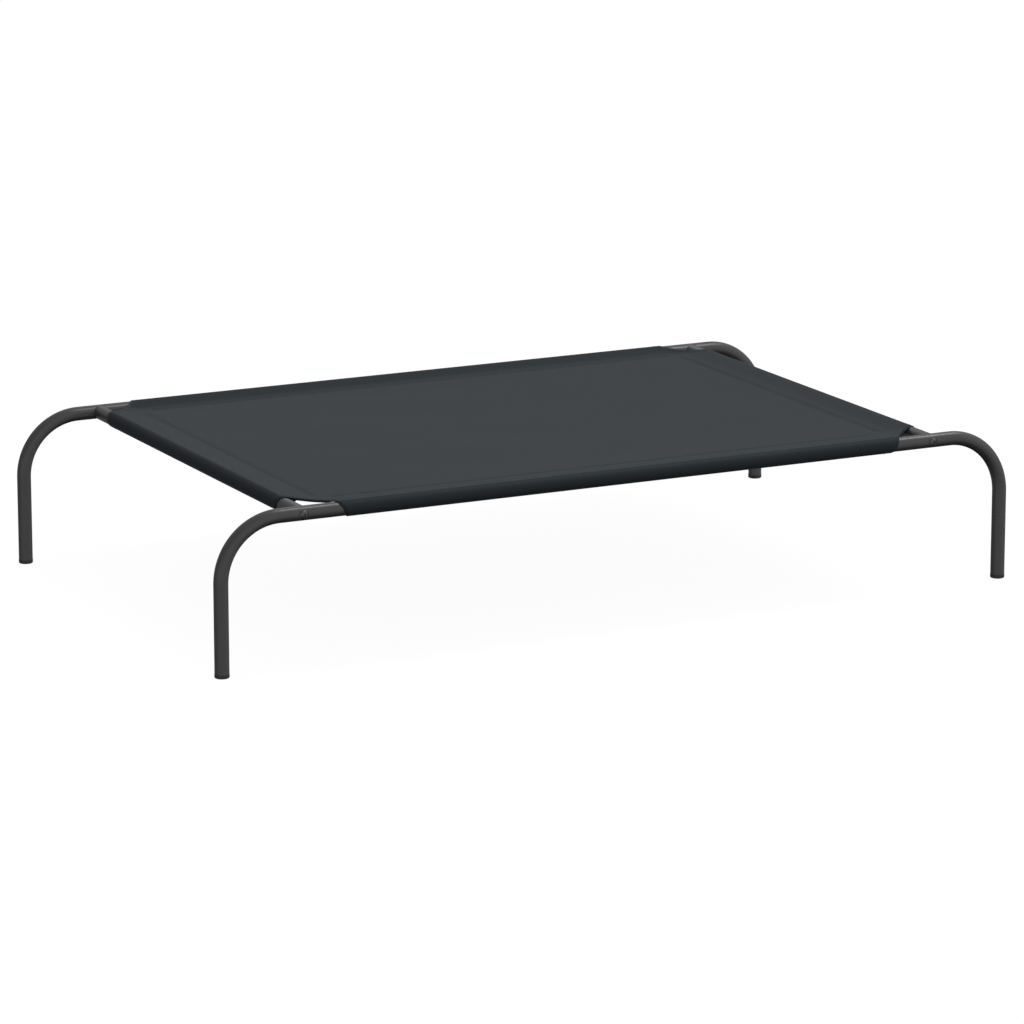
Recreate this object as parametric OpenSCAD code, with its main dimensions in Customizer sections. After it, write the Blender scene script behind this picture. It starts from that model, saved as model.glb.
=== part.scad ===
// Raised dog bed: a cloth sling stretched on a bolted frame of bent steel tube.
// Origin: centre of the footprint, on the floor. +X along the bed, +Y across it, +Z up.

/* [Overall size] */
// Length over the outsides of the leg tubes
overall_l = 1100; // [900:10:1300]
// Width over the outsides of the leg tubes
overall_w = 650; // [500:10:800]
// Height of the rails' centre lines above the floor
rail_z = 190; // [150:5:260]

/* [Tubes] */
// Outer diameter of every tube
tube_d = 18; // [17:0.2:19.6]
// Wall thickness of every tube
tube_wall = 1; // [0.8:0.1:1.2]
// Radius of the leg's bend, at the tube's centre line
bend_r = 76; // [60:1:100]
// Distance from a leg's centre line to the crossbar's, along the bed
crossbar_inset = 105; // [102:1:120]
// Distance from a leg's centre line to the joint with the side rail
rail_joint_inset = 186; // [180:1:200]
// Length of the leg's reduced end, inside the side rail
spigot_len = 45; // [30:1:60]

/* [Corner bolts] */
// Thread diameter
bolt_d = 6; // [5:1:6]
// Length under the head
bolt_len = 35; // [30:1:40]
// Diameter of the button head
bolt_head_d = 10.5; // [9.5:0.1:11]
// Height of the button head
bolt_head_h = 3.3; // [2.5:0.1:4]
// Width across the flats of the hexagon socket
hex_key = 4; // [3:0.5:4]
// Depth of the flat pressed into the tube under the head
dimple_depth = 0.9; // [0.5:0.1:1]
// Length of the threaded insert in the crossbar's end
insert_len = 28; // [20:1:40]

/* [Foot caps] */
// Diameter of the cap's lip
cap_d = 18.4; // [18:0.1:21]
// Height of the lip, under the tube's end
cap_h = 5; // [3:0.5:8]
// Radius of the lip's bottom edge
cap_edge = 1.6; // [0.5:0.1:2]
// Length of the plug inside the tube
plug_len = 16; // [10:1:25]

/* [Cloth] */
// Thickness of the cloth
cloth_t = 0.9; // [0.6:0.1:1.2]
// Room between a tube and its sleeve
sleeve_room = 0.2; // [0.1:0.1:0.4]
// Distance from a tube's centre line to the sleeve's seam
sleeve_seam = 36; // [30:1:50]
// How far the flat panel lies below the tops of the sleeves
panel_drop = 5; // [4:0.5:6]
// Distance from a crossbar's centre line to the long sleeves' mouths
long_mouth_gap = 52; // [46:1:60]
// Distance from a side rail's centre line to the end sleeves' mouths
end_mouth_gap = 51; // [44:1:64]
// Slant of the long sleeves' mouths, run over rise
long_slant = 0.7; // [0:0.1:1]
// Slant of the end sleeves' mouths, run over rise
end_slant = 0.5; // [0:0.1:1]
// Width of the hem turned under the panel
hem_w = 12; // [8:1:16]
// Thickness of the sewing thread
thread_d = 0.6; // [0.4:0.1:1]

/* [Hidden] */
$fn = 64;

// Tube sizes and centre lines
tube_r = tube_d / 2;
bore_r = tube_r - tube_wall;
leg_x = (overall_l - tube_d) / 2;
rail_y = (overall_w - tube_d) / 2;
crossbar_x = leg_x - crossbar_inset;
rail_half = leg_x - rail_joint_inset;

// Fits between the pieces, on the radius
spigot_fit = 0.1;
insert_fit = 0.05;
plug_fit = 0.1;
cope_fit = 0.15;
hole_fit = 0.25;
thread_fit = 0.05;
past = 1;

// Leg and bolt details
spigot_r = bore_r - spigot_fit;
shoulder = 2;
dimple_d = bolt_head_d + 1.5;
dimple_pad_d = dimple_d + 2;
seat = tube_r - dimple_depth;
rim_h = 0.6;
dome_rise = bolt_head_h - rim_h;
dome_r = (pow(bolt_head_d / 2, 2) + pow(dome_rise, 2)) / (2 * dome_rise);
socket_depth = 2;
insert_setback = 2;
plug_taper_h = 3;
plug_taper_r = 1.5;

// Cloth details, heights measured from the tubes' centre lines
inner_r = tube_r + sleeve_room;
outer_r = inner_r + cloth_t;
panel_top = outer_r - panel_drop;
layer_gap = 0.1;
hem_top = panel_top - cloth_t - layer_gap;
hem_bottom = hem_top - cloth_t;
long_half = crossbar_x - long_mouth_gap;
end_half = rail_y - end_mouth_gap;
arc_steps = 36;
mouth_reach = 20;
thread_rows = [4, 9];
thread_sink = 0.35;
thread_room = 0.05;
thread_end_gap = 6;

// ---- frame ----

// A straight tube along X, centred
module straight_tube(length) {
    rotate([0, 90, 0]) difference() {
        cylinder(h = length, r = tube_r, center = true);
        cylinder(h = length + 2 * past, r = bore_r, center = true);
    }
}

// A quarter turn from +X up to +Z, about the origin
module quarter_bend(r) {
    rotate([90, 0, 0]) rotate_extrude(angle = 90) translate([bend_r, 0]) circle(r = r);
}

// Mirrors the +X +Y corner to another corner
module to_corner(side_x, side_y) {
    mirror([side_x < 0 ? 1 : 0, 0, 0]) mirror([0, side_y < 0 ? 1 : 0, 0]) children();
}

// The leg's path at one radius: upright, bend and arm, for the +X +Y corner
module leg_path(r, bottom_z, arm_end_x) {
    translate([leg_x, rail_y, bottom_z]) cylinder(h = rail_z - bend_r - bottom_z, r = r);
    translate([leg_x - bend_r, rail_y, rail_z - bend_r]) quarter_bend(r);
    translate([arm_end_x, rail_y, rail_z]) rotate([0, 90, 0])
        cylinder(h = leg_x - bend_r - arm_end_x, r = r);
}

// A cylinder on the bolt's axis, between two distances outboard of the arm's centre line
module along_bolt(r, from, to) {
    translate([crossbar_x, rail_y + from, rail_z]) rotate([-90, 0, 0]) cylinder(h = to - from, r = r);
}

// Bent leg with its spigot, bolt holes and the pressed flat for the bolt's head
module leg(side_x, side_y) {
    color("dimgray") to_corner(side_x, side_y) difference() {
        union() {
            difference() {
                union() {
                    leg_path(tube_r, cap_h, rail_half);
                    translate([rail_half - spigot_len, rail_y, rail_z]) rotate([0, 90, 0])
                        cylinder(h = spigot_len + shoulder, r = spigot_r);
                }
                leg_path(bore_r, cap_h - past, rail_half + shoulder);
                translate([rail_half - spigot_len - past, rail_y, rail_z]) rotate([0, 90, 0])
                    cylinder(h = spigot_len + shoulder + 2 * past, r = spigot_r - tube_wall);
            }
            intersection() {
                along_bolt(dimple_pad_d / 2, seat - tube_wall, tube_r + past);
                translate([crossbar_x, rail_y, rail_z]) rotate([0, 90, 0])
                    cylinder(h = 2 * dimple_pad_d, r = tube_r, center = true);
            }
        }
        along_bolt(dimple_d / 2, seat, tube_r + past);
        along_bolt(bolt_d / 2 + hole_fit, -tube_r - past, tube_r + past);
    }
}

module side_rail(side_y) {
    color("dimgray") translate([0, side_y * rail_y, rail_z]) straight_tube(2 * rail_half);
}

// Tube across the bed, its ends coped round the leg arms
module crossbar(side_x) {
    color("dimgray") translate([side_x * crossbar_x, 0, rail_z]) difference() {
        rotate([0, 0, 90]) straight_tube(2 * rail_y);
        for (side_y = [-1, 1])
            translate([0, side_y * rail_y, 0]) rotate([0, 90, 0])
                cylinder(h = 3 * tube_d, r = tube_r + cope_fit, center = true);
    }
}

// Threaded insert in a crossbar's end, its thread as a plain bore
module insert(side_x, side_y) {
    color("silver") to_corner(side_x, side_y) difference() {
        along_bolt(bore_r - insert_fit, -tube_r - insert_setback - insert_len, -tube_r - insert_setback);
        along_bolt(bolt_d / 2 + thread_fit, -tube_r - insert_setback - insert_len - past, 0);
    }
}

// Button-head bolt with a hexagon socket, head outwards
module bolt(side_x, side_y) {
    color("gray") to_corner(side_x, side_y)
        translate([crossbar_x, rail_y + seat, rail_z]) rotate([-90, 0, 0]) difference() {
            union() {
                intersection() {
                    cylinder(h = bolt_head_h, r = bolt_head_d / 2);
                    translate([0, 0, bolt_head_h - dome_r]) sphere(r = dome_r);
                }
                translate([0, 0, -bolt_len]) cylinder(h = bolt_len + rim_h / 2, r = bolt_d / 2);
            }
            translate([0, 0, bolt_head_h - socket_depth])
                cylinder(h = socket_depth + past, r = hex_key / 2 / cos(30), $fn = 6);
        }
}

// ---- feet ----

// Outline of a foot cap, turned round its own axis
function cap_outline() = concat(
    [[0, 0]],
    [for (a = [-90:15:0]) [cap_d / 2 - cap_edge + cap_edge * cos(a), cap_edge + cap_edge * sin(a)]],
    [[cap_d / 2, cap_h], [bore_r - plug_fit, cap_h]],
    [[bore_r - plug_fit, cap_h + plug_len - plug_taper_h]],
    [[bore_r - plug_fit - plug_taper_r, cap_h + plug_len]],
    [[0, cap_h + plug_len]]
);

module foot_cap(side_x, side_y) {
    color("#202020") translate([side_x * leg_x, side_y * rail_y, 0])
        rotate_extrude() polygon(cap_outline());
}

// ---- cloth ----

// Loop outline at one radius round a tube: a tip, the round part and a second tip, all inboard (-X)
function loop_outline(r, upper_tip, lower_tip) = let (
    first = atan2(upper_tip[1], upper_tip[0]) - acos(r / norm(upper_tip)),
    last = atan2(lower_tip[1], lower_tip[0]) + acos(r / norm(lower_tip)) - 360
) concat(
    [upper_tip],
    [for (i = [0:arc_steps]) let (a = first + (last - first) * i / arc_steps) [r * cos(a), r * sin(a)]],
    [lower_tip]
);

// Section of a sleeve: the loop round the tube and the hem that is turned under the panel
module sleeve_section() {
    tip = [2 * cloth_t - sleeve_seam, (panel_top + hem_bottom) / 2];
    difference() {
        polygon(concat(
            loop_outline(outer_r, [-sleeve_seam, panel_top], [-sleeve_seam, hem_bottom]),
            [[-sleeve_seam - hem_w, hem_bottom], [-sleeve_seam - hem_w, hem_top], [-sleeve_seam, hem_top]]
        ));
        polygon(loop_outline(inner_r, tip, tip));
    }
}

// Sleeve along Y with its tube's centre line on the Y axis and the seam on the -X side
module sleeve(half, slant) {
    intersection() {
        rotate([90, 0, 0])
            linear_extrude(height = 2 * (half + mouth_reach), center = true) sleeve_section();
        rotate([90, 0, 90]) linear_extrude(height = 4 * sleeve_seam, center = true) polygon([
            for (end = [[-1, -1], [1, -1], [1, 1], [-1, 1]])
                [end[0] * (half + end[1] * slant * mouth_reach), end[1] * mouth_reach]
        ]);
    }
}

module long_sleeve(side_y) {
    color("#42464a") translate([0, side_y * rail_y, rail_z]) rotate([0, 0, side_y * 90])
        sleeve(long_half, long_slant);
}

module end_sleeve(side_x) {
    color("#42464a") translate([side_x * crossbar_x, 0, rail_z]) rotate([0, 0, side_x < 0 ? 180 : 0])
        sleeve(end_half, end_slant);
}

// Two rows of thread along Y beside a seam on the -X side of the Y axis, pulled into the cloth
module thread_pair(half, room) {
    width = thread_d + 2 * room;
    length = 2 * (half - thread_end_gap + room);
    height = thread_sink + (room > 0 ? past : 0);
    for (row = thread_rows)
        translate([-sleeve_seam - row - width / 2, -length / 2, panel_top - thread_sink - room])
            cube([width, length, height]);
}

module long_thread_pair(side_y, room) {
    translate([0, side_y * rail_y, rail_z]) rotate([0, 0, side_y * 90]) thread_pair(long_half, room);
}

module end_thread_pair(side_x, room) {
    translate([side_x * crossbar_x, 0, rail_z]) rotate([0, 0, side_x < 0 ? 180 : 0])
        thread_pair(end_half, room);
}

// Flat panel between the four seams, grooved where the stitches draw it in
module bed_panel() {
    size_x = 2 * (crossbar_x - sleeve_seam - layer_gap);
    size_y = 2 * (rail_y - sleeve_seam - layer_gap);
    color("#42464a") difference() {
        translate([-size_x / 2, -size_y / 2, rail_z + panel_top - cloth_t])
            cube([size_x, size_y, cloth_t]);
        for (side = [-1, 1]) {
            long_thread_pair(side, thread_room);
            end_thread_pair(side, thread_room);
        }
    }
}

module long_seam_thread(side_y) {
    color("#303336") long_thread_pair(side_y, 0);
}

module end_seam_thread(side_x) {
    color("#303336") end_thread_pair(side_x, 0);
}

side_rail(-1);  // side_rail_front
side_rail(1);  // side_rail_back
leg(-1, -1);  // leg_front_left
leg(1, -1);  // leg_front_right
leg(-1, 1);  // leg_back_left
leg(1, 1);  // leg_back_right
crossbar(-1);  // crossbar_left
crossbar(1);  // crossbar_right
insert(-1, -1);  // insert_front_left
insert(1, -1);  // insert_front_right
insert(-1, 1);  // insert_back_left
insert(1, 1);  // insert_back_right
bolt(-1, -1);  // bolt_front_left
bolt(1, -1);  // bolt_front_right
bolt(-1, 1);  // bolt_back_left
bolt(1, 1);  // bolt_back_right
foot_cap(-1, -1);  // foot_cap_front_left
foot_cap(1, -1);  // foot_cap_front_right
foot_cap(-1, 1);  // foot_cap_back_left
foot_cap(1, 1);  // foot_cap_back_right
bed_panel();
long_sleeve(-1);  // sleeve_front
long_sleeve(1);  // sleeve_back
end_sleeve(-1);  // sleeve_left
end_sleeve(1);  // sleeve_right
long_seam_thread(-1);  // seam_thread_front
long_seam_thread(1);  // seam_thread_back
end_seam_thread(-1);  // seam_thread_left
end_seam_thread(1);  // seam_thread_right
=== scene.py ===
"""Raised dog bed: the visible cloth with its hems and stitching, and the foot caps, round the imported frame.

Lengths are in metres. Places come from the frame's boxes. Only what the frame doesn't hold is named here.
"""

import math

import bpy
import numpy as np
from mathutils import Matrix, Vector


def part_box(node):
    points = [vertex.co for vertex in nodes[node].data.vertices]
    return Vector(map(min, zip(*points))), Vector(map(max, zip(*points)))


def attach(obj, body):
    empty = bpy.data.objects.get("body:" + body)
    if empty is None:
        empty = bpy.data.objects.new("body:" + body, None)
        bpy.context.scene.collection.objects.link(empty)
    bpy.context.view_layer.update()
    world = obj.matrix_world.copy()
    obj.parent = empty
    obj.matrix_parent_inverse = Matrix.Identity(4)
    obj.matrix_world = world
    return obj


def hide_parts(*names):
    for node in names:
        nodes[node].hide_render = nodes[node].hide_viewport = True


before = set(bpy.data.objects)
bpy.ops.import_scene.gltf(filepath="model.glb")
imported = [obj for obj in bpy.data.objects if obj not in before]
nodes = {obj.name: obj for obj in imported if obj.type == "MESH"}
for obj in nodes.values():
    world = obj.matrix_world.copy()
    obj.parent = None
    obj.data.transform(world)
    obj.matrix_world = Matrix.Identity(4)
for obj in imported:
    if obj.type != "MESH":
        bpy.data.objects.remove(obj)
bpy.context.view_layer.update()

CORNERS = [(y_name, x_name) for y_name in ("front", "back") for x_name in ("left", "right")]
SIGN = {"front": -1, "back": 1, "left": -1, "right": 1}

# ---- what the frame says ----

rail_low, rail_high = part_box("side_rail_back")
TUBE_R = (rail_high.z - rail_low.z) / 2
RAIL_Y = (rail_high.y + rail_low.y) / 2
RAIL_Z = (rail_high.z + rail_low.z) / 2
bar_low, bar_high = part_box("crossbar_right")
BAR_X = (bar_high.x + bar_low.x) / 2
long_low, long_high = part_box("sleeve_back")
end_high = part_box("sleeve_right")[1]
OUTER_R = long_high.y - RAIL_Y
panel_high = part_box("bed_panel")[1]
PANEL_TOP = panel_high.z - RAIL_Z
SEAM = RAIL_Y - panel_high.y
HEM_W = panel_high.y - long_low.y

# ---- the cloth's own sizes ----

CLOTH_T = 0.0009
LAYER_GAP = 0.0001
# how much the long and the end flaps narrow per metre beyond the tube's top
LONG_TAPER = 0.47
END_TAPER = 0.36
# radii of the bends where the cloth leaves the panel and where its hem turns level again
SEAM_BLEND_R = 0.2
HEM_BLEND_R = 0.012
# how far the cut corner bows inward from a straight line
CUT_BOW = 0.004
# the panel's sag: none nearer to a tube's axis than SAG_CLEAR, and all of it from SAG_FADE further in
SAG = 0.002
SAG_CLEAR = 0.03
SAG_FADE = 0.06
# slack waves along and across: height, radians per metre, and the wander's size, rate and phase
SLACK_ALONG = (0.00012, 31, 2, 9, 0)
SLACK_ACROSS = (0.0001, 43, 1.5, 11, 1)

# ---- the cloth's mesh ----

CELL = 0.006
WRAP_CELL = 0.0012
RISE_POINTS = 24
WRAP_POINTS = 120
TUCK_POINTS = 12
SAME_POINT = 1e-6

# ---- small helpers ----


def smooth_step(x):
    x = np.clip(x, 0.0, 1.0)
    return x * x * (3 - 2 * x)


def add_mesh(name, points, faces, body="root", replaced=()):
    """A smooth-shaded mesh that rides on a body and may replace CAD nodes."""
    mesh = bpy.data.meshes.new(name)
    mesh.from_pydata([tuple(p) for p in points], [], [tuple(int(i) for i in f) for f in faces])
    mesh.update()
    mesh.shade_smooth()
    piece = bpy.data.objects.new(name, mesh)
    bpy.context.scene.collection.objects.link(piece)
    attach(piece, body)
    if replaced:
        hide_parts(*replaced)
    return piece


def distances(line):
    """How far along a line of points each of them lies."""
    return np.concatenate([[0], np.cumsum(np.linalg.norm(np.diff(line, axis=0), axis=1))])


def grid_faces(rows, columns, closed=False):
    """Quads of a grid whose points are stored row after row; closed joins each row's ends."""
    faces = []
    for low in range(0, (rows - 1) * columns, columns):
        high = low + columns
        for c in range(columns if closed else columns - 1):
            after = (c + 1) % columns
            faces.append((low + c, low + after, high + after, high + c))
    return faces


# ---- the cloth's section across an edge ----


class EdgeSection:
    """The cloth's middle surface across an edge: it starts on the flat panel, rises to the tube, goes round
    it and comes back under the panel as a hem. Places are (outboard, up) from the tube's axis.
    """

    def __init__(self):
        radius = OUTER_R - CLOTH_T / 2
        self.level = PANEL_TOP - CLOTH_T / 2
        hem_level = self.level - CLOTH_T - LAYER_GAP
        top_angle, rise = self.tangent(radius, self.level, 1)
        low_angle, fall = self.tangent(radius, hem_level, -1)
        blend = SEAM_BLEND_R * math.tan(rise / 2)
        tuck = HEM_BLEND_R * math.tan(fall / 2)
        points = [(-SEAM - blend, self.level)]
        centre = (-SEAM - blend, self.level + SEAM_BLEND_R)
        for a in np.linspace(0, rise, RISE_POINTS)[1:]:
            points.append((centre[0] + SEAM_BLEND_R * math.sin(a), centre[1] - SEAM_BLEND_R * math.cos(a)))
        for a in np.linspace(top_angle, low_angle, WRAP_POINTS):
            points.append((radius * math.cos(a), radius * math.sin(a)))
        centre = (-SEAM - tuck, hem_level - HEM_BLEND_R)
        for a in np.linspace(fall, 0, TUCK_POINTS):
            points.append((centre[0] + HEM_BLEND_R * math.sin(a), centre[1] + HEM_BLEND_R * math.cos(a)))
        points.append((-SEAM - HEM_W, hem_level))
        self.path = np.array(points)
        self.along = distances(self.path)
        self.start = SEAM + blend
        self.top = self.along[RISE_POINTS]
        self.under = self.along[RISE_POINTS + WRAP_POINTS - 1]
        self.length = self.along[-1]

    @staticmethod
    def tangent(radius, level, side):
        """Where a straight run from the seam touches the tube, as an angle, and the run's slope."""
        reach = math.hypot(SEAM, level)
        angle = math.atan2(level, -SEAM) % (2 * math.pi) - side * math.acos(radius / reach)
        touch = (radius * math.cos(angle), radius * math.sin(angle))
        slope = abs(math.atan2(touch[1] - level, touch[0] + SEAM))
        return (angle if side > 0 else angle - 2 * math.pi), slope

    def at(self, distance):
        """Where the cloth is at a distance along it; negative distances are on the flat panel."""
        outboard = np.interp(distance, self.along, self.path[:, 0])
        outboard = np.where(distance < 0, distance - self.start, outboard)
        return outboard, np.interp(distance, self.along, self.path[:, 1])

    def steps(self, first):
        """The mesh rows' distances, from the first to the hem's edge, close together round the tube."""
        spans = [(first, self.top, CELL), (self.top, self.under, WRAP_CELL), (self.under, self.length, CELL)]
        rows = [np.linspace(a, b, max(2, math.ceil((b - a) / step) + 1)) for a, b, step in spans]
        return np.concatenate([rows[0], rows[1][1:], rows[2][1:]])


section = EdgeSection()
FLAT_X = BAR_X - section.start
FLAT_Y = RAIL_Y - section.start

# ---- the cloth's outline, cut away at the corners, in one quarter of the flat cloth ----

corner_a = np.array([long_high.x, FLAT_Y + section.top])
corner_b = np.array([FLAT_X + section.top, end_high.y])
half_chord = np.linalg.norm(corner_b - corner_a) / 2
CUT_R = (half_chord**2 + CUT_BOW**2) / (2 * CUT_BOW)
outward = np.array([corner_a[1] - corner_b[1], corner_b[0] - corner_a[0]]) / (2 * half_chord)
cut_centre = (corner_a + corner_b) / 2 + outward * (CUT_R - CUT_BOW)


def long_limit(t):
    """How far along the bed the cloth reaches, at a distance t across it."""
    cut = cut_centre[0] - np.sqrt(np.maximum(CUT_R**2 - (t - cut_centre[1]) ** 2, 0))
    mouth = corner_a[0] - LONG_TAPER * (t - corner_a[1])
    return np.where(t < corner_a[1], cut, mouth)


def end_limit(s):
    """How far across the bed the cloth reaches, at a distance s along it."""
    cut = cut_centre[1] - np.sqrt(np.maximum(CUT_R**2 - (s - cut_centre[0]) ** 2, 0))
    mouth = corner_b[1] - END_TAPER * (s - corner_b[0])
    return np.where(s < corner_b[0], cut, mouth)


def slack_wave(x, y, height, rate, wander, wander_rate, phase):
    return height * np.sin(x * rate + wander * np.sin(y * wander_rate + phase))


def relief(x, y):
    """The panel's slight sag and slack: zero at the sleeves."""
    free_x = smooth_step((BAR_X - SAG_CLEAR - np.abs(x)) / SAG_FADE)
    free = free_x * smooth_step((RAIL_Y - SAG_CLEAR - np.abs(y)) / SAG_FADE)
    dish = np.cos(np.clip(x / BAR_X, -1, 1) * math.pi / 2) * np.cos(np.clip(y / RAIL_Y, -1, 1) * math.pi / 2)
    waves = slack_wave(x, y, *SLACK_ALONG) + slack_wave(y, x, *SLACK_ACROSS)
    return -SAG * dish * free + waves * free


def on_cloth(s, t):
    """Flat cloth coordinates to places in space."""
    s, t = np.asarray(s, float), np.asarray(t, float)
    out_x, up_x = section.at(np.abs(s) - FLAT_X)
    out_y, up_y = section.at(np.abs(t) - FLAT_Y)
    x = np.sign(s) * (BAR_X + out_x)
    y = np.sign(t) * (RAIL_Y + out_y)
    x = np.where(np.abs(s) < FLAT_X, s, x)
    y = np.where(np.abs(t) < FLAT_Y, t, y)
    z = RAIL_Z + up_x + up_y - section.level + relief(x, y)
    return np.stack([x, y, z], axis=-1)


def cloth_normal(s, t, step=0.0002):
    """The cloth's upper (outer) side's direction."""
    along = on_cloth(s + step, t) - on_cloth(s - step, t)
    across = on_cloth(s, t + step) - on_cloth(s, t - step)
    n = np.cross(along, across)
    return n / np.linalg.norm(n, axis=-1, keepdims=True)


def quarter_grids():
    """One quarter's flat coordinates, as three grids that meet edge to edge: panel, long flap, end flap."""
    knot_s, knot_t = BAR_X - SEAM, RAIL_Y - SEAM
    reach = float(long_limit(np.array(knot_t)))
    inner = np.linspace(0, knot_s, round(knot_s / CELL) + 1)
    outer = np.linspace(knot_s, reach, max(3, round((reach - knot_s) / CELL) + 1))
    rows = np.linspace(0, knot_t, round(knot_t / CELL) + 1)
    columns = np.concatenate([inner, outer[1:]])
    panel = np.meshgrid(inner, rows)
    flap_t = FLAT_Y + section.steps(knot_t - FLAT_Y)
    long_s = columns[None, :] * (long_limit(flap_t) / reach)[:, None]
    long_flap = (long_s, np.repeat(flap_t[:, None], len(columns), axis=1))
    far = FLAT_X + section.steps(reach - FLAT_X)
    end_s = np.concatenate([outer, far[1:]])
    tops = np.where(end_s <= reach + SAME_POINT, knot_t, end_limit(end_s))
    share = rows / knot_t
    end_flap = (np.repeat(end_s[None, :], len(rows), axis=0), share[:, None] * tops[None, :])
    return [panel, long_flap, end_flap]


def make_sling():
    """The whole cloth as one sheet: four mirrored quarters, joined, with its thickness."""
    flats, faces, start = [], [], 0
    for side_x, side_y in ((1, 1), (-1, 1), (-1, -1), (1, -1)):
        for s, t in quarter_grids():
            quads = np.array(grid_faces(*s.shape)) + start
            flats.append(np.stack([side_x * s.ravel(), side_y * t.ravel()], axis=1))
            faces += quads.tolist() if side_x * side_y > 0 else quads[:, ::-1].tolist()
            start += s.size
    flat = np.concatenate(flats)
    cells = np.round(flat / SAME_POINT).astype(np.int64)
    _, first, group = np.unique(cells, axis=0, return_index=True, return_inverse=True)
    flat = flat[first]
    faces = [tuple(dict.fromkeys(group[f].ravel().tolist())) for f in faces]
    points = on_cloth(flat[:, 0], flat[:, 1])
    sling = add_mesh(
        "sling",
        points,
        faces,
        replaced=("bed_panel", "sleeve_front", "sleeve_back", "sleeve_left", "sleeve_right"),
    )
    record_flat(sling, flat)
    shell = sling.modifiers.new("cloth thickness", "SOLIDIFY")
    shell.thickness = CLOTH_T
    shell.offset = 0
    area = sum(polygon_area(flat[list(f)]) for f in faces)
    return sling, area


def polygon_area(corners):
    x, y = corners[:, 0], corners[:, 1]
    return abs(float(np.dot(x, np.roll(y, -1)) - np.dot(y, np.roll(x, -1)))) / 2


def record_flat(piece, flat):
    """Stores flat cloth coordinates on a mesh, for the weave to follow."""
    layer = piece.data.attributes.new("cloth_flat", "FLOAT_VECTOR", "POINT")
    layer.data.foreach_set("vector", np.column_stack([flat, np.zeros(len(flat))]).astype(np.float32).ravel())


# ---- hem along the cut corners ----

# the fold's width, and its thickness below the cloth: along the free edge, and pressed flat by a tube
HEM_FOLD_W = 0.009
HEM_FOLD_T = 0.0019
HEM_LINING = 0.00015
# how far the fold bulges past the cut edge, and the distance over which it thins toward a tube
HEM_EDGE = 0.0004
HEM_EASE = 0.012
# how far its lip lies over the cloth's top side, and how high it stands there
HEM_LIP = 0.0008
HEM_LIP_RISE = 0.00006
# where the rounding of the fold's bottom ends, and where its closing side starts inside the cloth
HEM_ROUND = 0.0006
HEM_TUCK = 0.001

MOUTH_POINTS = 90
CUT_POINTS = 40
HEM_STEP = 0.0015
INWARD_SMOOTHINGS = 12


def corner_edge():
    """The cut edge of one quarter, from the long hem to the end hem, evenly spaced in flat coordinates."""
    t = np.linspace(FLAT_Y + section.length, corner_a[1], MOUTH_POINTS)
    long_mouth = np.stack([long_limit(t), t], axis=1)
    start, end = (np.arctan2(*(p - cut_centre)[::-1]) for p in (corner_a, corner_b))
    start, end = start % (2 * math.pi), end % (2 * math.pi)
    angles = np.linspace(start, end, CUT_POINTS)
    cut = cut_centre + CUT_R * np.stack([np.cos(angles), np.sin(angles)], axis=1)
    s = np.linspace(corner_b[0], FLAT_X + section.length, MOUTH_POINTS)
    end_mouth = np.stack([s, end_limit(s)], axis=1)
    line = np.concatenate([long_mouth, cut[1:], end_mouth[1:]])
    along = distances(line)
    even = np.linspace(0, along[-1], round(along[-1] / HEM_STEP))
    return np.stack([np.interp(even, along, line[:, k]) for k in range(2)], axis=1)


def inward_of(line):
    """Unit directions from the cut edge into the cloth, smoothed along it."""
    step = np.gradient(line, axis=0)
    inward = np.stack([step[:, 1], -step[:, 0]], axis=1)
    for _ in range(INWARD_SMOOTHINGS):
        inward[1:-1] = (inward[:-2] + 2 * inward[1:-1] + inward[2:]) / 4
    inward /= np.linalg.norm(inward, axis=1, keepdims=True)
    middle = len(line) // 2
    return inward if np.dot(inward[middle], line[middle]) < 0 else -inward


def make_corner_hem(y_name, x_name):
    """The folded hem under a corner's cut edge: thick along the free edge, pressed thin round a tube."""
    edge = corner_edge()
    inward = inward_of(edge)
    half = CLOTH_T / 2
    free = np.minimum(corner_a[1] - edge[:, 1], corner_b[0] - edge[:, 0])
    thick = HEM_LINING + (HEM_FOLD_T - HEM_LINING) * smooth_step(free / HEM_EASE)
    sx, sy = SIGN[x_name], SIGN[y_name]
    points, flat = [], []
    for place, into, fold in zip(edge, inward, thick):
        low = -half - fold
        middle = (half + low) / 2
        outline = [
            (HEM_LIP, half + HEM_LIP_RISE),
            (0.0, half),
            (-0.75 * HEM_EDGE, 0.6 * half + 0.4 * middle),
            (-HEM_EDGE, middle),
            (-0.75 * HEM_EDGE, 0.5 * low + 0.5 * middle),
            (0.0, 0.94 * low + 0.06 * middle),
            (HEM_ROUND, low),
            (HEM_FOLD_W / 2, low),
            (HEM_FOLD_W - HEM_EDGE, low),
            (HEM_FOLD_W, 0.6 * low - 0.4 * half),
            (HEM_FOLD_W, 0.0),
            (HEM_TUCK, 0.0),
        ]
        for depth, height in outline:
            f = place + into * depth
            s, t = sx * f[0], sy * f[1]
            points.append(on_cloth(s, t) + cloth_normal(s, t) * height)
            flat.append((s, t))
    count = len(outline)
    faces = grid_faces(len(edge), count, closed=True)
    faces += [tuple(range(count))[::-1], tuple(range((len(edge) - 1) * count, len(edge) * count))]
    if sx * sy < 0:
        faces = [f[::-1] for f in faces]
    hem = add_mesh(f"corner_hem_{y_name}_{x_name}", points, faces)
    record_flat(hem, np.array(flat))
    return hem


# ---- stitching ----

STITCH_LENGTH = 0.0034
STITCH_PITCH = 0.0042
THREAD_R = 0.0003
STITCH_RISE = 0.0002
STITCH_RINGS = 6
STITCH_SIDES = 6
# how much of the arch is sunk at each end, and the thread's width there as a share of its full width
STITCH_SINK = 0.12
STITCH_TIP = 0.45
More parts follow.
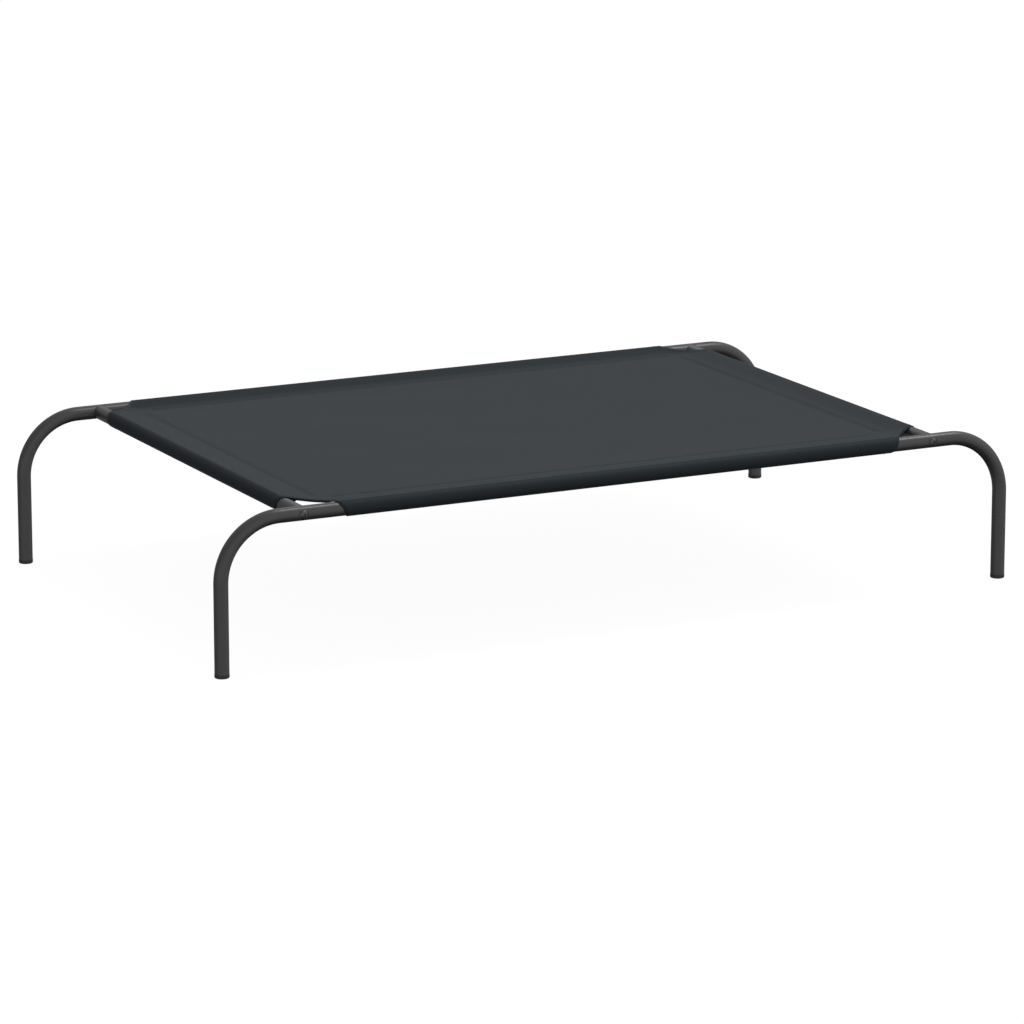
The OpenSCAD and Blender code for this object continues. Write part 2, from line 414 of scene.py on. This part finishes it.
# how unevenly the stitches lie across their row, as a standard deviation
SEAM_DRIFT = 0.00006
HEM_DRIFT = 0.00005
STITCH_SEED = 7
# how far a seam's last stitch may pass the end of its row
SEAM_OVERRUN = 0.001
# a hem's row: how far inside the fold's inner edge it runs, and how far from its ends it stops
ROW_INSET = 0.0015
ROW_MARGIN = 0.004


def stitches(starts, ends, ups):
    """Points and faces of one bent, sunk-ended length of thread for each start, end and up direction."""
    points, faces = [], []
    for a, b, up in zip(starts, ends, ups):
        forward = (b - a) / np.linalg.norm(b - a)
        side = np.cross(forward, up)
        base = len(points)
        for k in range(STITCH_RINGS):
            q = k / (STITCH_RINGS - 1)
            swell = math.sin(math.pi * (STITCH_SINK + (1 - 2 * STITCH_SINK) * q))
            centre = a + (b - a) * q + up * (STITCH_RISE * swell - THREAD_R * (1 - swell))
            for j in range(STITCH_SIDES):
                turn = 2 * math.pi * j / STITCH_SIDES
                radius = THREAD_R * (STITCH_TIP + (1 - STITCH_TIP) * swell)
                points.append(centre + radius * (math.cos(turn) * side + math.sin(turn) * up))
        quads = grid_faces(STITCH_RINGS, STITCH_SIDES, closed=True)
        faces += [tuple(base + i for i in f[::-1]) for f in quads]
        faces.append(tuple(base + j for j in range(STITCH_SIDES)))
        last = base + (STITCH_RINGS - 1) * STITCH_SIDES
        faces.append(tuple(last + j for j in reversed(range(STITCH_SIDES))))
    return points, faces


def seam_rows(node):
    """The two rows of a seam: which way they run, their places across and their reach."""
    low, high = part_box(node)
    along = 0 if high.x - low.x > high.y - low.y else 1
    across = 1 - along
    return along, (low[across] + THREAD_R, high[across] - THREAD_R), high[along]


def make_seam(side, random):
    """A seam's stitches on the panel and on the hem below it."""
    node = f"seam_thread_{side}"
    along, places, reach = seam_rows(node)
    count = round((2 * reach - STITCH_LENGTH) / STITCH_PITCH)
    hem_reach = (float(long_limit(FLAT_Y + section.length)), float(end_limit(FLAT_X + section.length)))
    starts, ends, ups = [], [], []
    for place in places:
        for k in range(count + 1):
            middle = -reach + STITCH_LENGTH / 2 + k * (2 * reach - STITCH_LENGTH) / count
            drift = random.normal(0, SEAM_DRIFT)
            for up, shift in ((1, 0.0), (-1, STITCH_PITCH / 2)):
                at = np.zeros((2, 2))
                at[:, along] = middle + shift + np.array([-1, 1]) * STITCH_LENGTH / 2
                at[:, 1 - along] = place + drift
                if np.abs(at[:, along]).max() > reach + SEAM_OVERRUN:
                    continue
                surface = on_cloth(at[:, 0], at[:, 1])
                hemmed = up < 0 and abs(at[:, along]).max() < hem_reach[along]
                surface[:, 2] += up * CLOTH_T / 2 - (CLOTH_T + LAYER_GAP if hemmed else 0)
                starts.append(surface[0])
                ends.append(surface[1])
                ups.append(np.array([0.0, 0.0, float(up)]))
    points, faces = stitches(starts, ends, ups)
    return add_mesh(f"stitches_{side}", points, faces, replaced=(node,))


def make_hem_stitches(y_name, x_name, random):
    """One row of stitches along a corner's hem, on the top side."""
    edge = corner_edge()
    line = edge + inward_of(edge) * (HEM_FOLD_W - ROW_INSET)
    along = distances(line)
    sx, sy = SIGN[x_name], SIGN[y_name]
    starts, ends, ups = [], [], []
    for middle in np.arange(ROW_MARGIN, along[-1] - ROW_MARGIN, STITCH_PITCH):
        reached = middle + np.array([-STITCH_LENGTH / 2, 0, STITCH_LENGTH / 2])
        s, t = (np.interp(reached, along, line[:, k]) for k in range(2))
        drift = random.normal(0, HEM_DRIFT)
        up = cloth_normal(sx * s[1], sy * t[1])
        lift = up * CLOTH_T / 2
        starts.append(on_cloth(sx * s[0], sy * (t[0] + drift)) + lift)
        ends.append(on_cloth(sx * s[2], sy * (t[2] + drift)) + lift)
        ups.append(up)
    points, faces = stitches(starts, ends, ups)
    return add_mesh(f"hem_stitches_{y_name}_{x_name}", points, faces)


# ---- foot caps ----

# roundings of the sole's rim and of the lip's upper rim
SOLE_ROUND = 0.0016
LIP_ROUND = 0.0005
# the tube's wall with the plug's room, and how far the plug's end is chamfered, in and down
PLUG_INSET = 0.0011
CHAMFER_W = 0.0015
CHAMFER_H = 0.003
CAP_SIDES = 56


def make_foot_cap(y_name, x_name):
    """A moulded cap turned round its axis: rounded foot, lip, and the plug inside the tube."""
    node = f"foot_cap_{y_name}_{x_name}"
    low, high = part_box(node)
    centre = (low + high) / 2
    lip_r = (high.x - low.x) / 2
    lip_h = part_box(f"leg_{y_name}_{x_name}")[0].z
    plug_r = TUBE_R - PLUG_INSET
    sole_r = lip_r - SOLE_ROUND
    rings = [(sole_r * 0.5, 0), (sole_r * 0.9, 0)]
    for turn in np.radians(np.linspace(-90, 0, 9)):
        rings.append((sole_r + SOLE_ROUND * math.cos(turn), SOLE_ROUND + SOLE_ROUND * math.sin(turn)))
    for turn in np.radians(np.linspace(0, 90, 6)):
        radius = lip_r - LIP_ROUND + LIP_ROUND * math.cos(turn)
        rings.append((radius, lip_h - LIP_ROUND + LIP_ROUND * math.sin(turn)))
    rings += [(plug_r, lip_h), (plug_r, high.z - CHAMFER_H), (plug_r - CHAMFER_W, high.z)]
    points = []
    for radius, height in rings:
        for turn in np.arange(CAP_SIDES) * 2 * math.pi / CAP_SIDES:
            x, y = centre.x + radius * math.cos(turn), centre.y + radius * math.sin(turn)
            points.append((x, y, low.z + height))
    faces = grid_faces(len(rings), CAP_SIDES, closed=True)
    bottom, top = len(points), len(points) + 1
    points += [(centre.x, centre.y, low.z), (centre.x, centre.y, high.z)]
    last = (len(rings) - 1) * CAP_SIDES
    for k in range(CAP_SIDES):
        after = (k + 1) % CAP_SIDES
        faces.append((bottom, after, k))
        faces.append((top, last + k, last + after))
    return add_mesh(f"foot_{y_name}_{x_name}", points, faces, replaced=(node,))


# ---- materials ----

COAT_COLOR = (0.043, 0.0434, 0.044)
CAP_COLOR = (0.02, 0.0202, 0.0205)
BOLT_COLOR = (0.11, 0.112, 0.116)
ZINC_COLOR = (0.5, 0.51, 0.52)
THREAD_COLOR = (0.026, 0.0285, 0.0305)
CLOTH_COLOR = (0.0138, 0.0174, 0.0203)
CLOTH_CAST = (0.78, 0.93, 1.0, 1.0)
YARN_PITCH = 0.0009
# the cloth's roughness where its gloss is best, and where the gloss has faded on a slight tilt
CLOTH_GLOSSY = 0.6
CLOTH_FADED = 0.82
# the foot caps are scuffed up to this height
SCUFF_H = 0.003


class Shader:
    """A node material under construction; its methods add and join nodes."""

    def __init__(self, name):
        self.material = bpy.data.materials.new(name)
        self.material.use_nodes = True
        self.tree = self.material.node_tree
        self.surface = self.tree.nodes["Principled BSDF"]

    def set(self, **values):
        for socket, value in values.items():
            self.surface.inputs[socket.replace("_", " ")].default_value = value

    def add(self, kind, *inputs, **settings):
        node = self.tree.nodes.new(kind)
        for key, value in settings.items():
            setattr(node, key, value)
        for place, value in enumerate(inputs):
            self.put(node.inputs[place], value)
        return node

    def put(self, socket, value):
        if isinstance(value, bpy.types.NodeSocket):
            self.tree.links.new(value, socket)
        elif value is not None:
            socket.default_value = value

    def math(self, operation, *inputs):
        return self.add("ShaderNodeMath", *inputs, operation=operation).outputs[0]

    def spot(self):
        return self.add("ShaderNodeTexCoord").outputs["Object"]

    def noise(self, vector, scale, detail=3.0, roughness=0.55):
        node = self.add("ShaderNodeTexNoise")
        self.put(node.inputs["Vector"], vector)
        for key, value in (("Scale", scale), ("Detail", detail), ("Roughness", roughness)):
            node.inputs[key].default_value = value
        return node.outputs[0]

    def span(self, value, low, high, from_low=0.0, from_high=1.0):
        """A value carried from one range to another, and held at its ends."""
        node = self.add("ShaderNodeMapRange")
        ends = (("From Min", from_low), ("From Max", from_high), ("To Min", low), ("To Max", high))
        for key, number in (("Value", value), *ends):
            self.put(node.inputs[key], number)
        return node.outputs[0]

    def tint(self, color, factor):
        """The colour, brightened or darkened by a factor."""
        node = self.add("ShaderNodeVectorMath", operation="SCALE")
        node.inputs[0].default_value = color
        self.put(node.inputs["Scale"], factor)
        return node.outputs[0]

    def link(self, socket, value):
        self.put(self.surface.inputs[socket], value)

    def bump(self, height, distance, strength=1.0, normal=None):
        node = self.add("ShaderNodeBump")
        node.inputs["Strength"].default_value = strength
        node.inputs["Distance"].default_value = distance
        self.put(node.inputs["Height"], height)
        if normal is not None:
            self.put(node.inputs["Normal"], normal)
        return node.outputs[0]


def powder_coat():
    """Satin dark grey powder coat: orange peel, faint mottling and a few rubbed patches."""
    s = Shader("powder coat")
    spot = s.spot()
    mottle = s.noise(spot, 60, 4)
    rubbed = s.span(s.noise(spot, 9, 5, 0.65), 0, 1, 0.56, 0.7)
    shade = s.math("ADD", s.span(mottle, 0.9, 1.1), s.math("MULTIPLY", rubbed, 0.12))
    s.link("Base Color", s.tint(COAT_COLOR, shade))
    s.link("Roughness", s.math("ADD", s.span(mottle, 0.31, 0.36), s.math("MULTIPLY", rubbed, -0.04)))
    peel = s.noise(spot, 900, 2)
    grit = s.noise(spot, 3500, 1)
    s.link("Normal", s.bump(grit, 0.00001, 0.3, s.bump(peel, 0.00003, 0.4)))
    s.set(Specular_IOR_Level=0.7)
    return s.material


def black_plastic():
    """Moulded foot cap: fine grain, and scuffs low down where it meets the floor."""
    s = Shader("foot plastic")
    spot = s.spot()
    height = s.add("ShaderNodeSeparateXYZ", spot).outputs[2]
    patches = s.span(s.noise(spot, 500, 4), 0, 1, 0.45, 0.65)
    scuffed = s.math("MULTIPLY", s.span(height, 1, 0, 0.0, SCUFF_H), patches)
    shade = s.math("ADD", s.span(s.noise(spot, 150), 0.9, 1.1), s.math("MULTIPLY", scuffed, 0.9))
    s.link("Base Color", s.tint(CAP_COLOR, shade))
    grain = s.span(s.noise(spot, 300), 0.42, 0.52)
    s.link("Roughness", s.math("ADD", grain, s.math("MULTIPLY", scuffed, 0.2)))
    s.link("Normal", s.bump(s.noise(spot, 2500, 2), 0.00005, 0.6))
    return s.material


def coated_bolt():
    """Dark coated steel bolt head, with bright wear in and round the socket."""
    s = Shader("coated bolt")
    spot = s.spot()
    worn = s.span(s.noise(spot, 700, 4, 0.6), 0, 1, 0.52, 0.7)
    s.link("Base Color", s.tint(BOLT_COLOR, s.math("ADD", 0.9, s.math("MULTIPLY", worn, 0.8))))
    s.link("Roughness", s.span(worn, 0.4, 0.3))
    s.link("Normal", s.bump(s.noise(spot, 2000, 2), 0.00003, 0.4))
    s.set(Metallic=0.6)
    return s.material


def zinc():
    """Dull zinc plate of the hidden inserts."""
    s = Shader("zinc plate")
    spot = s.spot()
    spangle = s.noise(spot, 400, 4)
    s.link("Base Color", s.tint(ZINC_COLOR, s.span(spangle, 0.8, 1.15)))
    s.link("Roughness", s.span(spangle, 0.3, 0.45))
    s.set(Metallic=1.0)
    return s.material


def weave(s, flat):
    """Height of a plain weave in flat cloth coordinates, 0 to 1."""
    split = s.add("ShaderNodeSeparateXYZ", flat)
    wobble = s.math("MULTIPLY", s.math("SUBTRACT", s.noise(flat, 220, 2), 0.5), 0.35)
    across = s.math("ADD", s.math("DIVIDE", split.outputs[0], YARN_PITCH), wobble)
    along = s.math("ADD", s.math("DIVIDE", split.outputs[1], YARN_PITCH), wobble)
    even = s.math("MODULO", s.math("ADD", s.math("FLOOR", across), s.math("FLOOR", along)), 2.0)
    over = s.math("COMPARE", s.math("ABSOLUTE", even), 0.0, 0.5)
    round_a = s.math("SINE", s.math("MULTIPLY", s.math("FRACT", across), math.pi))
    round_b = s.math("SINE", s.math("MULTIPLY", s.math("FRACT", along), math.pi))
    warp = s.math("MULTIPLY", s.math("POWER", round_a, 0.5), s.span(round_b, 0.45, 1.0))
    weft = s.math("MULTIPLY", s.math("POWER", round_b, 0.5), s.span(round_a, 0.45, 1.0))
    mix = s.add("ShaderNodeMix", data_type="FLOAT")
    s.put(mix.inputs[0], over)
    s.put(mix.inputs[2], weft)
    s.put(mix.inputs[3], warp)
    return mix.outputs[0]


def woven_cloth():
    """Tight plain weave of coated yarn: painted shade between the yarns, faintly mottled, with soft sheen."""
    s = Shader("sling cloth")
    flat = s.add("ShaderNodeAttribute", attribute_name="cloth_flat").outputs["Vector"]
    height = weave(s, flat)
    broad = s.noise(flat, 6, 4)
    fine = s.noise(flat, 140, 3)
    mottle = s.math("MULTIPLY", s.span(broad, 0.96, 1.04), s.span(fine, 0.95, 1.05))
    # the base colour carries painted shade: darker where the weave is low, between the yarns, besides the
    # random mottling
    s.link("Base Color", s.tint(CLOTH_COLOR, s.math("MULTIPLY", s.span(height, 0.72, 1.08), mottle)))
    # The gloss is at its best at a low angle. It fades edge on, where the yarns' round tops hide each
    # other, and where the cloth tilts a little toward the eye.
    facing = s.add("ShaderNodeLayerWeight").outputs["Facing"]
    edge_on = s.span(facing, CLOTH_GLOSSY, 1.0, 0.8, 0.97)
    fading = s.span(facing, CLOTH_FADED, CLOTH_GLOSSY, 0.68, 0.76)
    returning = s.span(facing, CLOTH_GLOSSY, CLOTH_FADED, 0.4, 0.6)
    faded = s.math("MAXIMUM", edge_on, s.math("MINIMUM", fading, returning))
    s.link("Roughness", s.math("MAXIMUM", s.span(height, 0.75, CLOTH_GLOSSY), faded))
    s.link("Normal", s.bump(height, 0.00012, 0.5))
    s.set(Specular_IOR_Level=0.28, Specular_Tint=CLOTH_CAST)
    s.set(Sheen_Weight=0.11, Sheen_Roughness=0.32, Sheen_Tint=CLOTH_CAST)
    return s.material


def thread():
    """Twisted polyester sewing thread."""
    s = Shader("sewing thread")
    spot = s.spot()
    ply = s.noise(spot, 2200, 2)
    s.link("Base Color", s.tint(THREAD_COLOR, s.span(ply, 0.7, 1.3)))
    s.link("Roughness", s.span(ply, 0.5, 0.65))
    s.link("Normal", s.bump(ply, 0.00008, 0.7))
    return s.material


def dress(piece, material):
    piece.data.materials.clear()
    piece.data.materials.append(material)


# ---- stage, light and camera ----

AIM = Vector((0.0046, 0.0, 0.0762))
AZIMUTH = math.radians(-26.77)
ELEVATION = math.radians(13.48)
DISTANCE = 6.651
LENS = 182.0
# the sky's brightness by height (-1 straight down, 1 straight up), in front of the bed and behind it
SKY_FRONT = ((-0.8, 0.0), (-0.45, 0.47), (0.1, 0.74), (0.55, 0.6), (0.85, 0.52))
SKY_BACK = ((-0.8, 0.0), (-0.45, 0.2), (0.1, 0.27), (0.55, 0.5), (0.85, 0.52))
# how much brighter it is to the right, by height, and how softly its front turns into its back
SKY_SIDE = ((0.1, 0.0), (0.5, 0.5))
SKY_TURN = 0.5
# what the camera sees behind everything
SKY_SEEN = 1.0
FLOOR_REACH = 40
FLOOR_SHADE = (0.08, 0.08, 0.08, 1)
FLOOR_GLOW = 0.96
WHITE = (1, 1, 1, 1)
SOFTBOXES = {
    "key softbox": {"place": (1.2, -0.05, 2.4), "aim": (0.3, 0, 0.15), "size": (0.8, 1.6), "power": 20},
    "back softbox": {"place": (0.9, 3.0, 1.75), "aim": (0, 0, 0.15), "size": (1.2, 0.5), "power": 2},
}


def make_camera():
    data = bpy.data.cameras.new("camera")
    data.sensor_width = 36
    data.lens = LENS
    data.clip_start, data.clip_end = 0.1, 100
    camera = bpy.data.objects.new("camera", data)
    bpy.context.scene.collection.objects.link(camera)
    flat = math.cos(ELEVATION)
    back = Vector((math.sin(AZIMUTH) * flat, -math.cos(AZIMUTH) * flat, math.sin(ELEVATION)))
    camera.location = AIM + back * DISTANCE
    camera.rotation_mode = "QUATERNION"
    camera.rotation_quaternion = (-back).to_track_quat("-Z", "Y")
    bpy.context.scene.camera = camera


def make_floor():
    """A plain floor that glows white, so that the object's shadow on it stays faint.

    The object doesn't see it: the sky's lower half is what lights it from below.
    """
    mesh = bpy.data.meshes.new("floor")
    corners = [(x * FLOOR_REACH, y * FLOOR_REACH, 0) for x, y in ((-1, -1), (1, -1), (1, 1), (-1, 1))]
    mesh.from_pydata(corners, [], [(0, 1, 2, 3)])
    floor = bpy.data.objects.new("floor", mesh)
    bpy.context.scene.collection.objects.link(floor)
    s = Shader("floor")
    s.set(Base_Color=FLOOR_SHADE, Roughness=1.0, Specular_IOR_Level=0.0)
    s.set(Emission_Color=WHITE, Emission_Strength=FLOOR_GLOW)
    floor.data.materials.append(s.material)
    floor.visible_diffuse = False
    floor.visible_glossy = False


def make_sky():
    """White behind everything; as a light, a soft studio: bright above, in front and to the right."""
    world = bpy.data.worlds.new("studio")
    bpy.context.scene.world = world
    world.use_nodes = True
    tree = world.node_tree

    def join(kind, settings, inputs):
        node = tree.nodes.new(kind)
        for key, value in settings.items():
            setattr(node, key, value)
        for socket, value in inputs:
            if isinstance(value, (int, float)):
                node.inputs[socket].default_value = value
            else:
                tree.links.new(value, node.inputs[socket])
        return node.outputs[0]

    def math_node(operation, *values):
        return join("ShaderNodeMath", {"operation": operation}, list(enumerate(values)))

    def span(value, low, high, out_low, out_high):
        ends = [("From Min", low), ("From Max", high), ("To Min", out_low), ("To Max", out_high)]
        return join("ShaderNodeMapRange", {"interpolation_type": "SMOOTHSTEP"}, [("Value", value), *ends])

    def curve(height, points):
        total = points[0][1]
        for (low, before), (high, after) in zip(points, points[1:]):
            total = math_node("ADD", total, span(height, low, high, 0.0, after - before))
        return total

    split = tree.nodes.new("ShaderNodeSeparateXYZ")
    tree.links.new(tree.nodes.new("ShaderNodeTexCoord").outputs["Generated"], split.inputs[0])
    right, away, height = split.outputs
    behind = span(away, -SKY_TURN, SKY_TURN, 0.0, 1.0)
    front = curve(height, SKY_FRONT)
    change = math_node("MULTIPLY", behind, math_node("SUBTRACT", curve(height, SKY_BACK), front))
    lean = math_node("ADD", 1.0, math_node("MULTIPLY", right, curve(height, SKY_SIDE)))
    light = math_node("MULTIPLY", math_node("ADD", front, change), lean)
    seen = tree.nodes.new("ShaderNodeMix")
    tree.links.new(tree.nodes.new("ShaderNodeLightPath").outputs["Is Camera Ray"], seen.inputs[0])
    tree.links.new(light, seen.inputs[2])
    seen.inputs[3].default_value = SKY_SEEN
    background = tree.nodes["Background"]
    tree.links.new(seen.outputs[0], background.inputs["Strength"])
    background.inputs["Color"].default_value = WHITE


def make_light(name, place, aim, size, power):
    data = bpy.data.lights.new(name, "AREA")
    data.shape = "RECTANGLE"
    data.size, data.size_y = size
    data.energy = power
    lamp = bpy.data.objects.new(name, data)
    bpy.context.scene.collection.objects.link(lamp)
    lamp.location = place
    lamp.rotation_mode = "QUATERNION"
    lamp.rotation_quaternion = (Vector(aim) - Vector(place)).to_track_quat("-Z", "Y")


# ---- making it all ----

make_camera()
make_floor()
make_sky()
for name, box in SOFTBOXES.items():
    make_light(name, **box)
bpy.context.scene.view_settings.view_transform = "Standard"

random = np.random.default_rng(STITCH_SEED)
cloth = woven_cloth()
sewn = thread()
coat = powder_coat()

sling, sling_area = make_sling()
dress(sling, cloth)
on_sling = []
for side in ("front", "back", "left", "right"):
    on_sling.append(make_seam(side, random))
    dress(on_sling[-1], sewn)
for y_name, x_name in CORNERS:
    hem = make_corner_hem(y_name, x_name)
    dress(hem, cloth)
    row = make_hem_stitches(y_name, x_name, random)
    dress(row, sewn)
    on_sling += [hem, row]

plastic = black_plastic()
for y_name, x_name in CORNERS:
    dress(make_foot_cap(y_name, x_name), plastic)

finishes = {"leg": coat, "side": coat, "crossbar": coat, "bolt": coated_bolt(), "insert": zinc()}
finishes.update({"foot": plastic, "seam": sewn, "bed": cloth, "sleeve": cloth})
for name, node in nodes.items():
    dress(node, finishes[name.split("_")[0]])
